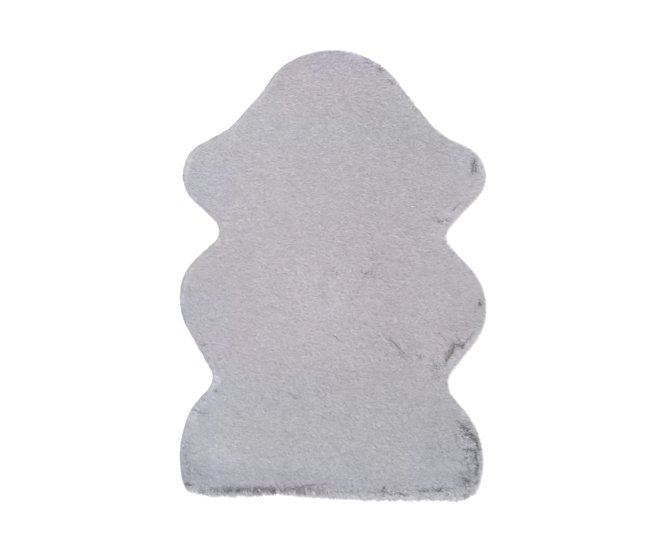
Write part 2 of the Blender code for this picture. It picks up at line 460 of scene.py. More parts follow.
# The underfur gets painted shade, for the shadow down in the gaps, in the placed partings and where the
# pile is mussed.
UNDERFUR_CLEFT_PAINTED_SHADE = 0.60
UNDERFUR_CLEFT_REACH = 0.004
UNDERFUR_CLEFT_MARGIN = 0.012
UNDERFUR_MUSSED_PAINTED_SHADE = 0.30

# Patches where the colour changes. The rosy and cool ones are the dye's own hues; the light and dim ones
# are painted light and painted shade: more light on the upper left and less on the right and the lower
# half, shaded edges, a shaded band where the pile hangs over the lower edge, and highlights where strands
# stand up by the crease and the right notches. A patch is even inside its half width and half height, and
# this power sets how sharply it ends. The colours are changes in red, green and blue, as shares.
PATCH_POWER = 6
ROSY = np.array([0.030, -0.013, -0.001])
COOL = np.array([-0.008, -0.004, 0.026])
PAINTED_LIGHT = np.array([0.02, 0.02, 0.02])
PAINTED_SHADE = np.array([-0.05, -0.05, -0.05])
PATCHES = (
    # name, x, y, half width, half height, turn, colour, strength
    ("middle", 0.012, 0.01, 0.247, 0.215, 0, ROSY, 1.0),
    ("dome", -0.010, 0.384, 0.108, 0.068, 0, ROSY, 1.0),
    ("lower left notch", -0.21, -0.145, 0.060, 0.035, 0, ROSY, 0.7),
    ("lower edge", -0.08, -0.420, 0.085, 0.016, 0, ROSY, 0.9),
    ("upper left lobe", -0.245, 0.175, 0.055, 0.048, 0, COOL, 1.4),
    ("middle left lobe", -0.265, -0.09, 0.055, 0.060, 0, COOL, 1.2),
    ("lower left notch", -0.20, -0.17, 0.070, 0.050, -30, COOL, 0.8),
    ("under the notch", -0.17, -0.235, 0.080, 0.025, 0, COOL, 0.9),
    ("under the rosy middle", -0.045, -0.207, 0.040, 0.018, 0, COOL, 0.6),
    ("crease", 0.238, -0.130, 0.040, 0.040, 0, ROSY, 0.5),
    ("lower left lobe", -0.265, -0.31, 0.050, 0.110, 0, COOL, 1.1),
    ("strip over the lower edge", -0.11, -0.40, 0.200, 0.034, 0, COOL, 1.4),
    ("lower right lobe", 0.23, -0.38, 0.085, 0.052, 0, COOL, 1.3),
    ("top of the dome", 0.02, 0.43, 0.065, 0.026, 0, COOL, 1.6),
    ("upper right lobe", 0.265, 0.225, 0.035, 0.030, 0, COOL, 0.9),
    ("upper left", -0.20, 0.22, 0.120, 0.130, 0, PAINTED_LIGHT, 1.3),
    ("left of the middle", -0.09, -0.03, 0.070, 0.110, 0, PAINTED_LIGHT, 0.8),
    ("right half", 0.20, 0.05, 0.165, 0.420, 0, PAINTED_SHADE, 0.8),
    ("lower half", 0.05, -0.30, 0.240, 0.130, 0, PAINTED_SHADE, 0.75),
    ("lower half, middle", -0.005, -0.207, 0.032, 0.026, 0, PAINTED_SHADE, 0.6),
    ("lower half, right", 0.225, -0.270, 0.035, 0.035, 0, PAINTED_SHADE, 0.6),
    ("lower half, low", 0.05, -0.370, 0.036, 0.022, 0, PAINTED_SHADE, 0.7),
    ("top of the dome", 0.00, 0.435, 0.110, 0.022, 0, PAINTED_SHADE, 0.9),
    ("left side of the dome", -0.114, 0.385, 0.022, 0.030, 0, PAINTED_SHADE, 0.8),
    ("above the lower right notch", 0.200, -0.185, 0.030, 0.032, 0, PAINTED_LIGHT, 1.6),
    ("upper right notch", 0.235, 0.114, 0.020, 0.016, 0, PAINTED_LIGHT, 5.0),
    ("outside the crease", 0.266, -0.146, 0.048, 0.019, 48, PAINTED_LIGHT, 5.0),
    ("side of the lower right lobe", 0.284, -0.362, 0.009, 0.048, 0, PAINTED_SHADE, 0.7),
    ("upper right side", 0.13, 0.285, 0.090, 0.035, -35, PAINTED_SHADE, 0.5),
    ("right lobe", 0.270, -0.02, 0.040, 0.080, 0, PAINTED_SHADE, 0.2),
    ("lower right lobe", 0.215, -0.345, 0.034, 0.030, 0, PAINTED_SHADE, 1.0),
    ("middle", -0.020, -0.030, 0.060, 0.060, 0, PAINTED_LIGHT, 1.0),
    ("lower left", -0.220, -0.350, 0.030, 0.030, 0, PAINTED_LIGHT, 2.0),
    ("lower middle", 0.012, -0.386, 0.036, 0.020, 0, PAINTED_LIGHT, 0.6),
    ("upper right lobe", 0.275, 0.200, 0.026, 0.045, 0, PAINTED_LIGHT, 1.6),
    ("left edge of the middle lobe", -0.292, -0.045, 0.014, 0.050, 0, PAINTED_SHADE, 1.2),
    ("left edge of the lower lobe", -0.293, -0.350, 0.014, 0.070, 0, PAINTED_SHADE, 1.6),
    ("strip over the lower edge", -0.17, -0.408, 0.170, 0.024, 0, PAINTED_SHADE, 1.1),
    ("strip at the lower edge", -0.17, -0.430, 0.085, 0.011, 0, PAINTED_SHADE, 2.0),
    ("strip over the lower edge, right", 0.14, -0.412, 0.180, 0.022, 0, PAINTED_SHADE, 0.9),
    ("lower left corner", -0.262, -0.385, 0.024, 0.022, 0, PAINTED_SHADE, 1.4),
    ("lower right side", 0.285, -0.37, 0.028, 0.065, 0, PAINTED_SHADE, 0.2),
    ("patch in the lower right lobe", 0.266, -0.404, 0.019, 0.016, 0, PAINTED_SHADE, 2.4),
    ("above the crease", 0.250, -0.125, 0.026, 0.020, 30, PAINTED_SHADE, 0.4),
)

# Bands of the pile, from the head down: name and how far along the rug the band starts.
BANDS = (
    ("pile_head", 0.228),
    ("pile_shoulders", 0.125),
    ("pile_chest", 0.012),
    ("pile_flanks", -0.098),
    ("pile_waist", -0.222),
    ("pile_hips", -0.332),
    ("pile_tail", -1.0),
)

# Linear colours. The roots and the underfur are darker than the tips: painted shade of the pile's depth.
TIP_COLOUR = (0.594, 0.589, 0.618)
ROOT_COLOUR = (0.490, 0.486, 0.509)
UNDERFUR_COLOUR = (0.450, 0.446, 0.468)
BACK_COLOUR = (0.470, 0.455, 0.480)
FLOOR_COLOUR = (0.86, 0.86, 0.86)

# The fur's material: where its root colour ends and its tip colour starts, its roughness from the sleekest
# locks to the dullest, its sheen and its grain. All the fibres have the same specular level.
FIBRE_SPECULAR = 0.25
FUR_RAMP = (0.1, 0.8)
FUR_ROUGHNESS = (0.72, 0.98)
FUR_LOCKS_PER_METRE = 160
FUR_SHEEN = 0.06
FUR_SHEEN_ROUGHNESS = 0.5
FUR_GRAIN_PER_METRE = 1800
FUR_GRAIN_HEIGHT = 0.00006
FUR_GRAIN_STRENGTH = 0.5
FUR_DETAIL = 2

# The underfur's: its roughness, its grain, and the tones between the hollows of the grain and its tops,
# painted shade in the hollows and painted light on the tops.
UNDERFUR_ROUGHNESS = 0.95
UNDERFUR_GRAIN_PER_METRE = 900
UNDERFUR_GRAIN_HEIGHT = 0.0006
UNDERFUR_GRAIN_STRENGTH = 0.6
UNDERFUR_RAMP = (0.25, 0.75)
UNDERFUR_TONES = (0.8, 1.2)
WOOL_DETAIL = 3

# The knitted back's: the width and height of a stitch, how steep its legs are, how low it dips between
# courses, its relief, and the uneven yarn's patches, tones and roughness. The tones follow the stitches'
# height by one share, painted shade in the dips between them, and the yarn's unevenness by the other.
WALE = 0.0018
COURSE = 0.0013
STITCH_SLANT = 1.4
STITCH_DIP = 0.5
STITCH_HEIGHT = 0.0004
STITCH_STRENGTH = 0.8
YARN_PATCHES_PER_METRE = 90
STITCH_PAINTED_SHADE_SHARE = 0.7
YARN_SHARE = 0.3
BACK_RAMP = (0.1, 0.8)
BACK_TONES = (0.62, 1.08)
BACK_ROUGHNESS = (0.8, 1)

# The studio: even light all round with a softbox overhead to the left, and a camera with a long lens
# straight above.
FLOOR_REACH = 30
WORLD_LIGHT = 1.60
SOFTBOX_SIZE = 1.6
SOFTBOX_WATTS = 50
SOFTBOX_PLACE = (-0.6, 0.6, 3.25)
LENS = 200
SENSOR_WIDTH = 36
VIEW_WIDTH = 1.294
VIEW_MIDDLE = (-0.0159, 0.001)
VIEW_END = 100


# ---- small helpers


def ease(share):
    share = np.clip(share, 0, 1)
    return share * share * (3 - 2 * share)


def unit(vectors):
    return vectors / np.maximum(np.linalg.norm(vectors, axis=-1, keepdims=True), LEAST_LENGTH)


def dot(a, b):
    return (a * b).sum(-1, keepdims=True)


def turned(x, y, degrees):
    """The places in axes that are turned anticlockwise by this angle."""
    angle = np.radians(degrees)
    return x * np.cos(angle) + y * np.sin(angle), y * np.cos(angle) - x * np.sin(angle)


@functools.cache
def random_table(seed, low, high, depth):
    return np.random.default_rng(seed).uniform(low, high, (NOISE_SIZE, NOISE_SIZE, depth))


def noise(x, y, cell, seed):
    """Smooth noise, about -1 to 1, over cells of this width and height."""
    angle = random_table(seed, 0, math.tau, 1)[..., 0]
    u, v = x / cell[0], y / cell[1]
    i, j = np.floor(u).astype(int), np.floor(v).astype(int)
    s, t = u - i, v - j

    def corner(right, up):
        turn = angle[(i + right) % NOISE_SIZE, (j + up) % NOISE_SIZE]
        return np.cos(turn) * (s - right) + np.sin(turn) * (t - up)

    lower = corner(0, 0) + (corner(1, 0) - corner(0, 0)) * ease(s)
    upper = corner(0, 1) + (corner(1, 1) - corner(0, 1)) * ease(s)
    return NOISE_GAIN * (lower + (upper - lower) * ease(t))


def tufts(s, t, cell, seed):
    """For each place, the way to the middle of its tuft, and the tuft's two random numbers from -1 to 1."""
    table = random_table(seed, -1, 1, 4)
    i, j = np.floor(s / cell[0]).astype(int), np.floor(t / cell[1]).astype(int)
    nearest = np.full(len(s), np.inf)
    way = np.zeros((len(s), 2))
    chance = np.zeros((len(s), 2))
    for right in (-1, 0, 1):
        for up in (-1, 0, 1):
            own = table[(i + right) % NOISE_SIZE, (j + up) % NOISE_SIZE]
            to_s = (i + right + 0.5 + TUFT_JITTER * own[:, 0]) * cell[0] - s
            to_t = (j + up + 0.5 + TUFT_JITTER * own[:, 1]) * cell[1] - t
            gap = (to_s / cell[0]) ** 2 + (to_t / cell[1]) ** 2
            closer = gap < nearest
            nearest[closer] = gap[closer]
            way[closer] = np.stack([to_s, to_t], axis=1)[closer]
            chance[closer] = own[closer, 2:]
    return way, chance


# ---- the rug's outline and top, from its solid


def closed(ring):
    return np.vstack([ring, ring[:1]])


class Outline:
    """The widest line round the rug, anticlockwise from the top of its dome, by distance along it."""

    def __init__(self, ring):
        run = np.linalg.norm(np.roll(ring, -1, axis=0) - ring, axis=1)
        ends = np.concatenate([[0], np.cumsum(run)])
        self.length = ends[-1]
        self.along = self.evenly(OUTLINE_STEP)
        self.count = len(self.along)
        places = np.stack([np.interp(self.along, ends, closed(ring)[:, k]) for k in (0, 1)], axis=1)
        self.places = self.smoothed(places, OUTLINE_SMOOTHING / 2)
        tangent = np.roll(self.places, -1, axis=0) - np.roll(self.places, 1, axis=0)
        tangent = unit(self.smoothed(unit(tangent), OUTLINE_SMOOTHING))
        self.outward = np.stack([tangent[:, 1], -tangent[:, 0]], axis=1)

    def evenly(self, step):
        """Distances along the outline, about this step apart."""
        count = round(self.length / step)
        return np.arange(count) * self.length / count

    def box(self):
        """The lowest and the highest x and y of the outline."""
        return self.places.min(0), self.places.max(0)

    def smoothed(self, values, reach):
        steps = np.arange(-self.count // 2, self.count - self.count // 2)
        weight = np.exp(-0.5 * (steps * OUTLINE_STEP / reach) ** 2)
        weight = np.fft.fft(np.fft.ifftshift(weight / weight.sum()))
        return np.real(np.fft.ifft(np.fft.fft(values, axis=0) * weight[:, None], axis=0))

    def read(self, along):
        """The places and outward directions at these distances along the outline."""
        where, ends = np.mod(along, self.length), np.append(self.along, self.length)
        places, outward = (
            np.stack([np.interp(where, ends, closed(values)[:, k]) for k in (0, 1)], axis=-1)
            for values in (self.places, self.outward)
        )
        return places, unit(outward)


def welded(node):
    mesh = bmesh.new()
    mesh.from_mesh(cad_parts[node].data)
    bmesh.ops.remove_doubles(mesh, verts=mesh.verts, dist=WELD)
    return mesh


def widest_ring(mesh):
    """The points of the widest level ring of the solid, anticlockwise from the one with the highest y."""
    height = max(mesh.verts, key=lambda v: v.co.x).co.z
    on_ring = {v for v in mesh.verts if abs(v.co.z - height) < RING_TOLERANCE}
    start = max(on_ring, key=lambda v: v.co.y)
    ring, before = [start], None
    while True:
        around = [e.other_vert(ring[-1]) for e in ring[-1].link_edges]
        onward = [v for v in around if v in on_ring and v is not before]
        following = min(onward, key=lambda v: v.co.x) if before is None else onward[0]
        if following is start:
            break
        before = ring[-1]
        ring.append(following)
    return np.array([v.co.xy[:] for v in ring])


def distances(places, line):
    """How far each place lies from the line through these points."""
    start, run = line[:-1], np.diff(line, axis=0)
    found = []
    for chunk in np.array_split(places, 1 + len(places) * len(line) // DISTANCE_CHUNK):
        gap = chunk[:, None] - start
        share = np.clip((gap * run).sum(2) / (run * run).sum(1), 0, 1)
        found.append(np.linalg.norm(gap - share[..., None] * run, axis=2).min(1))
    return np.concatenate(found)


class Ground:
    """The solid's top height and the distance in from its outline, on a grid that is read anywhere."""

    def __init__(self, mesh, ring):
        self.low = ring.min(0) - GRID_MARGIN
        self.count = np.ceil((ring.max(0) + GRID_MARGIN - self.low) / GRID_STEP).astype(int) + 1
        xs = self.low[0] + np.arange(self.count[0]) * GRID_STEP
        ys = self.low[1] + np.arange(self.count[1]) * GRID_STEP
        grid = np.stack(np.meshgrid(xs, ys, indexing="ij"), axis=-1)
        tree = BVHTree.FromBMesh(mesh)
        above, down = cad_high.z + GRID_MARGIN, Vector((0, 0, -1))
        places = grid.reshape(-1, 2)
        hits = [tree.ray_cast(Vector((x, y, above)), down)[0] for x, y in places]
        inside = np.array([hit is not None for hit in hits]).reshape(self.count)
        self.top = np.array([hit.z if hit else 0 for hit in hits]).reshape(self.count)
        gap = distances(places, closed(ring)).reshape(self.count)
        self.inset = np.where(inside, gap, -gap)
        self.inward_x, self.inward_y = np.gradient(self.inset, GRID_STEP)

    def read(self, values, x, y):
        """The grid's values at these places."""
        u = (x - self.low[0]) / GRID_STEP
        v = (y - self.low[1]) / GRID_STEP
        i = np.clip(np.floor(u).astype(int), 0, self.count[0] - 2)
        j = np.clip(np.floor(v).astype(int), 0, self.count[1] - 2)
        s, t = np.clip(u - i, 0, 1), np.clip(v - j, 0, 1)
        lower = values[i, j] * (1 - s) + values[i + 1, j] * s
        upper = values[i, j + 1] * (1 - s) + values[i + 1, j + 1] * s
        return lower * (1 - t) + upper * t

    def outward(self, x, y):
        return unit(-np.stack([self.read(self.inward_x, x, y), self.read(self.inward_y, x, y)], axis=-1))


solid = welded(NODE)
ring = widest_ring(solid)
outline = Outline(ring)
ground = Ground(solid, ring)
solid.free()


# ---- the surfaces of the fur and the underfur


def brushed(x, y, swirl):
    """The way the pile is brushed at these places, turned further by these degrees."""
    low, high = cad_low.y, cad_high.y
    heading = HEADING_AT_HEAD + (HEADING_AT_TAIL - HEADING_AT_HEAD) * ease((high - y) / (high - low))
    heading = np.radians(heading + swirl)
    return np.stack([np.cos(heading), np.sin(heading)], axis=-1)


def leeward(outward):
    """How much the pile is brushed towards a side that faces this way: 1, or -1 if away from it."""
    way = math.radians((HEADING_AT_HEAD + HEADING_AT_TAIL) / 2)
    return outward[..., 0] * math.cos(way) + outward[..., 1] * math.sin(way)


def windward(outward):
    return np.clip(-leeward(outward), 0, 1)


def ripple(x, y):
    """The pile's ripples, about -1 to 1."""
    u, v = turned(x, y, RIPPLE_SLOPE)
    return sum(share * noise(u, v, cell, seed) for cell, share, seed in RIPPLES)


def rim_surface(along, angle, rim, bulge=0):
    """Places and normals on a rim, at these distances along the outline and angles up its ellipse."""
    place, outward = outline.read(along)
    reach, rise, fall = rim
    reach = reach + bulge
    rise = np.where(angle > 0, rise, fall)
    flat = place + outward * (reach * np.cos(angle) - RIM_LINE_INSET)[..., None]
    height = RIM_LINE_HEIGHT + rise * np.sin(angle)
    points = np.concatenate([flat, height[..., None]], axis=-1)
    slope = (np.cos(angle) / reach)[..., None] * outward
    normals = unit(np.concatenate([slope, (np.sin(angle) / rise)[..., None]], axis=-1))
    points += normals * (RIPPLE_LIFT * ripple(flat[..., 0], flat[..., 1]))[..., None]
    return points, normals


def crown_height(x, y):
    """The height of the fur's tips inside the rim."""
    edge = RIM_LINE_HEIGHT + FUR_RIM[1]
    share = ease((ground.read(ground.inset, x, y) - RIM_LINE_INSET) / CROWN_RISE_REACH)
    return edge + share * (ground.read(ground.top, x, y) - edge) + RIPPLE_LIFT * ripple(x, y)


def crown_surface(x, y):
    """Places and normals on the crown of the fur."""
    height = crown_height(x, y)
    slope_x = (crown_height(x + SLOPE_STEP, y) - height) / SLOPE_STEP
    slope_y = (crown_height(x, y + SLOPE_STEP) - height) / SLOPE_STEP
    points = np.stack([x, y, height], axis=-1)
    normals = unit(np.stack([-slope_x, -slope_y, np.ones_like(x)], axis=-1))
    return points, normals


# ---- meshes


def new_object(name, mesh, material):
    mesh.materials.append(material)
    obj = bpy.data.objects.new(name, mesh)
    bpy.context.scene.collection.objects.link(obj)
    return obj


def add_piece(mesh, material):
    obj = new_object(mesh.name, mesh, material)
    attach(obj, BODY)
    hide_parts(NODE)
    return obj


def level(flat, height):
    """These flat places as points at one height."""
    return np.column_stack([flat, np.full(len(flat), height)])


def filled(ring_points, cell, clearance):
    """Fills a level ring with points on a triangular grid, clear of it: (added points, triangles)."""
    flat = ring_points[:, :2]
    row_step = cell * math.sqrt(3) / 2
    low, high = flat.min(0), flat.max(0)
    rows = np.arange(math.floor(low[1] / row_step), math.ceil(high[1] / row_step) + 1)
    columns = np.arange(math.floor(low[0] / cell) - 1, math.ceil(high[0] / cell) + 1)
    row, column = np.meshgrid(rows, columns, indexing="ij")
    x = ((column + row % 2 / 2) * cell).ravel()
    y = (row * row_step).ravel()
    inset = ground.read(ground.inset, x, y)
    ring_inset = ground.read(ground.inset, flat[:, 0], flat[:, 1])
    near = inset > ring_inset.min() - cell
    x, y = x[near], y[near]
    keep = np.flatnonzero(inset[near] > ring_inset.max() + clearance)
    unsure = np.flatnonzero(inset[near] <= ring_inset.max() + clearance)
    gap = distances(np.stack([x[unsure], y[unsure]], axis=1), closed(flat))
    sure = unsure[(gap > clearance) & inside_ring(x[unsure], y[unsure], flat)]
    chosen = np.sort(np.concatenate([keep, sure]))
    inner = np.stack([x[chosen], y[chosen]], axis=1)
    border = [(i, (i + 1) % len(flat)) for i in range(len(flat))]
    places = [Vector(p) for p in np.vstack([flat, inner])]
    found = delaunay_2d_cdt(places, border, [], 1, SAME_PLACE)
    origins = found[3]
    triangles = np.array([[origins[i][0] for i in triangle] for triangle in found[2]])
    return level(inner, ring_points[0, 2]), triangles


def inside_ring(x, y, flat):
    """Whether each place lies inside the ring: a line to its right crosses it an odd number of times."""
    if len(x) == 0:
        return np.zeros(0, bool)
    start, end = flat, np.roll(flat, -1, axis=0)
    spans = (start[:, 1] > y[:, None]) != (end[:, 1] > y[:, None])
    rise = np.where(end[:, 1] == start[:, 1], 1, end[:, 1] - start[:, 1])
    crossing = start[:, 0] + (y[:, None] - start[:, 1]) * (end[:, 0] - start[:, 0]) / rise
    return (spans & (x[:, None] < crossing)).sum(1) % 2 == 1


def ring_faces(lower, upper, count):
    """Quads between two rings of points, given each ring's first index, that face out of the rings."""
    i = np.arange(count)
    j = (i + 1) % count
    return np.stack([lower + i, lower + j, upper + j, upper + i], axis=1)


def closed_mesh(name, rings, top, bottom):
    """A closed smooth mesh of rings, from the lowest up, that top and bottom, from filled(), close."""
    count = len(rings[0])
    sides = [ring_faces(k * count, (k + 1) * count, count) for k in range(len(rings) - 1)]
    top_start = len(rings) * count
    bottom_start = top_start + len(top[0])
    upper = top[1] + top_start - count
    lower = np.where(bottom[1] < count, bottom[1], bottom[1] - count + bottom_start)[:, ::-1]
    points = np.vstack([*rings, top[0], bottom[0]])
    mesh = bpy.data.meshes.new(name)
    faces = [face.tolist() for part in (*sides, upper, lower) for face in part]
    mesh.from_pydata(points.tolist(), [], faces)
    mesh.shade_smooth()
    return mesh, points


def make_back():
    """The knitted back: a closed sheet of even thickness, flat on the floor."""
    edge = BACK_THICKNESS * BACK_ROUNDING
    place, outward = outline.read(outline.evenly(BACK_STEP))
    insets = BACK_INSET + np.array([edge, 0, 0, edge])
    heights = (0, edge, BACK_THICKNESS - edge, BACK_THICKNESS)
    rings = [level(place - outward * inset, height) for inset, height in zip(insets, heights)]
    top = filled(rings[-1], BACK_CELL, BACK_CLEARANCE)
    bottom = filled(rings[0], BACK_CELL, BACK_CLEARANCE)
    mesh, _ = closed_mesh("rug_back", rings, top, bottom)
    mesh.set_sharp_from_angle(angle=BACK_SMOOTH_BELOW)
    return add_piece(mesh, back_material())


def make_underfur():
    """The dense underfur: a closed low pad with a rounded rim, rippled like the pile that hides it."""
    along = outline.evenly(UNDERFUR_STEP)
    angles = np.linspace(UNDERFUR_FOOT, math.pi / 2, UNDERFUR_RINGS)
    bulge = WINDWARD_BULGE * windward(outline.read(along)[1])
    rings = [rim_surface(along, np.full(len(along), angle), UNDERFUR_RIM, bulge)[0] for angle in angles]
    rings[0][:, 2] = rings[0][:, 2].mean()
    top = filled(rings[-1], UNDERFUR_CELL, UNDERFUR_CLEARANCE)
    top[0][:, 2] = crown_height(top[0][:, 0], top[0][:, 1]) - PILE_DEPTH
    bottom = filled(rings[0], UNDERFUR_SOLE_CELL, UNDERFUR_SOLE_CLEARANCE)
    mesh, points = closed_mesh("underfur", rings, top, bottom)
    x, y = points[:, 0], points[:, 1]
    # Painted shade on the underfur where the pile is mussed and in the placed partings.
    shade = (1 - UNDERFUR_MUSSED_PAINTED_SHADE * mussed(x, y)) * (1 - UNDERFUR_CLEFT_PAINTED_SHADE * cleft(x, y))
    add_tint(mesh, dye_and_painted_light(x, y) * shade[:, None])
    return add_piece(mesh, underfur_material())


def add_tint(mesh, colours):
    attribute = mesh.attributes.new("tint", "FLOAT_COLOR", "POINT")
    colours = np.column_stack([colours, np.ones(len(colours))])
    attribute.data.foreach_set("color", colours.astype(np.float32).ravel())


# ---- the pile


def covered(x, y, spot, power):
    """How much a spot covers these places: 1 in its middle, fading out round its half width and height."""
    middle_x, middle_y, half_width, half_height, turn = spot
    u, v = turned(x - middle_x, y - middle_y, turn)
    return np.exp(-((u / half_width) ** power) - (v / half_height) ** power)


def dye_and_painted_light(x, y):
    """How the dye's hues and the painted light and shade of the patches vary the colour over the rug:
    factors on red, green and blue.
    """
    tint = np.ones((len(x), 3))
    for _, *spot, colour, strength in PATCHES:
        tint += strength * covered(x, y, spot, PATCH_POWER)[:, None] * colour
    return tint


def jittered(values, rng):
    return values + rng.uniform(-0.5, 0.5, len(values)) * STRAND_SPACING


def crown_tips(rng):
    """Tips on a jittered grid over the crown: places, normals and the two directions along the surface."""
    low, high = outline.box()
    xs = np.arange(low[0], high[0], STRAND_SPACING)
    ys = np.arange(low[1], high[1], STRAND_SPACING)
    x, y = (part.ravel() for part in np.meshgrid(xs, ys, indexing="ij"))
    x, y = jittered(x, rng), jittered(y, rng)
    keep = ground.read(ground.inset, x, y) > RIM_LINE_INSET
    x, y = x[keep], y[keep]
    places, normals = crown_surface(x, y)
    count = len(x)
    heading = math.radians(TUFT_HEADING)
    return dict(
        place=places,
        normal=normals,
        right=np.tile([math.cos(heading), math.sin(heading), 0], (count, 1)),
        up=np.tile([-math.sin(heading), math.cos(heading), 0], (count, 1)),
        spot=np.stack(turned(x, y, TUFT_HEADING), axis=1),
        depth=np.full(count, PILE_DEPTH),
        rim=np.zeros(count),
        outward=ground.outward(x, y),
        inset=ground.read(ground.inset, x, y),
    )


def rim_tips(rng):
    """Tips on a jittered grid round the rim."""
    reach, rise, fall = FUR_RIM
    angles = np.linspace(FUR_FOOT, math.pi / 2, RIM_SAMPLES)
    steps = np.hypot(reach * np.sin(angles), np.where(angles > 0, rise, fall) * np.cos(angles))
    climb = np.concatenate([[0], np.cumsum((steps[1:] + steps[:-1]) / 2 * np.diff(angles))])
    along = np.arange(0, outline.length, STRAND_SPACING)
    rows = np.arange(STRAND_SPACING / 2, climb[-1], STRAND_SPACING)
    along, row = (part.ravel() for part in np.meshgrid(along, rows, indexing="ij"))
    along = jittered(along, rng)
    row = np.clip(jittered(row, rng), 0, climb[-1])
    angle = np.interp(row, climb, angles)
    places, outward = outline.read(along)
    _, clump = clumped(along, row, places[:, 0])
    ragged = raggedness(places, outward, reach * (1 - np.cos(angle)))
    bulge = CLUMP_BULGE * (clump - CLUMP_NEUTRAL) * ragged + BRUSHED_OUT * leeward(outward)
    for _, x, y, radius, distance in HANGS:
        bulge = bulge + distance * np.exp(-(np.linalg.norm(places - (x, y), axis=1) / radius) ** 2)
    places, normals = rim_surface(along, angle, FUR_RIM, bulge)
    right = np.column_stack([-outward[:, 1], outward[:, 0], np.zeros(len(along))])
    gap_out = FUR_RIM[0] - UNDERFUR_RIM[0] + bulge - WINDWARD_BULGE * windward(outward)
    gap_up = FUR_RIM[1] - UNDERFUR_RIM[1]
    return dict(
        place=places,
        normal=normals,
        right=right,
        up=np.cross(normals, right),
        spot=np.stack([along, row], axis=1),
        depth=np.hypot(gap_out * np.cos(angle), gap_up * np.sin(angle)),
        rim=1 - ease(angle / (math.pi / 2)),
        outward=outward,
        inset=RIM_LINE_INSET - reach * np.cos(angle),
    )


def joined(parts):
    return {key: np.concatenate([part[key] for part in parts]) for key in parts[0]}


def raggedness(places, outward, inset):
    """How much the pile hangs in clumps here: most at the edge of the tail end."""
    facing = ease((-outward[:, 1] - RAGGED_FACING) / RAGGED_FACING_SPAN)
    low = ease((RAGGED_BELOW - places[:, 1]) / RAGGED_SPAN)
    return facing * low * ease(1 - inset / RAGGED_REACH)


def clumped(s, t, x):
    """For each place, the way to the middle of its clump, and how much that bulges here, from 0 to 1."""
    narrow_way, narrow_chance = tufts(s, t, NARROW_CLUMP, NARROW_CLUMP_SEED)
    wide_way, wide_chance = tufts(s, t, WIDE_CLUMP, WIDE_CLUMP_SEED)
    wide = x > CLUMP_SPLIT
    way = np.where(wide[:, None], wide_way, narrow_way)
    chance = np.where(wide, wide_chance[:, 0], narrow_chance[:, 0])
    width = CLUMP_HALF_WIDTH * np.where(wide, WIDE_CLUMP[0], NARROW_CLUMP[0])
    swell = np.clip(1 - (way[:, 0] / width) ** 2, 0, 1)
    return way, swell * (CLUMP_MEAN + CLUMP_VARIATION * chance)


def mussed(x, y):
    """How mussed the pile is, from 0 to 1."""
    mess = np.zeros(len(x))
    for _, *spot, strength in MUSSED:
        mess = np.maximum(mess, strength * covered(x, y, spot, MUSSED_POWER))
    return mess


def leaning(flat, normal, angle, droop):
    """Directions that lean along the lay by this angle, droop, and rise clear of the surface."""
    across = flat * np.sin(angle)
    up = np.sqrt(1 - (across**2).sum(1, keepdims=True)) - droop
    way = np.hstack([across, up])
    return unit(way + normal * np.maximum(STRAND_CLEARANCE - dot(way, normal), 0))


def near_edge(tips, reach):
    """1 near the outline, fading out a little more than this reach in."""
    return ease(SHADE_END - tips["inset"] / reach)


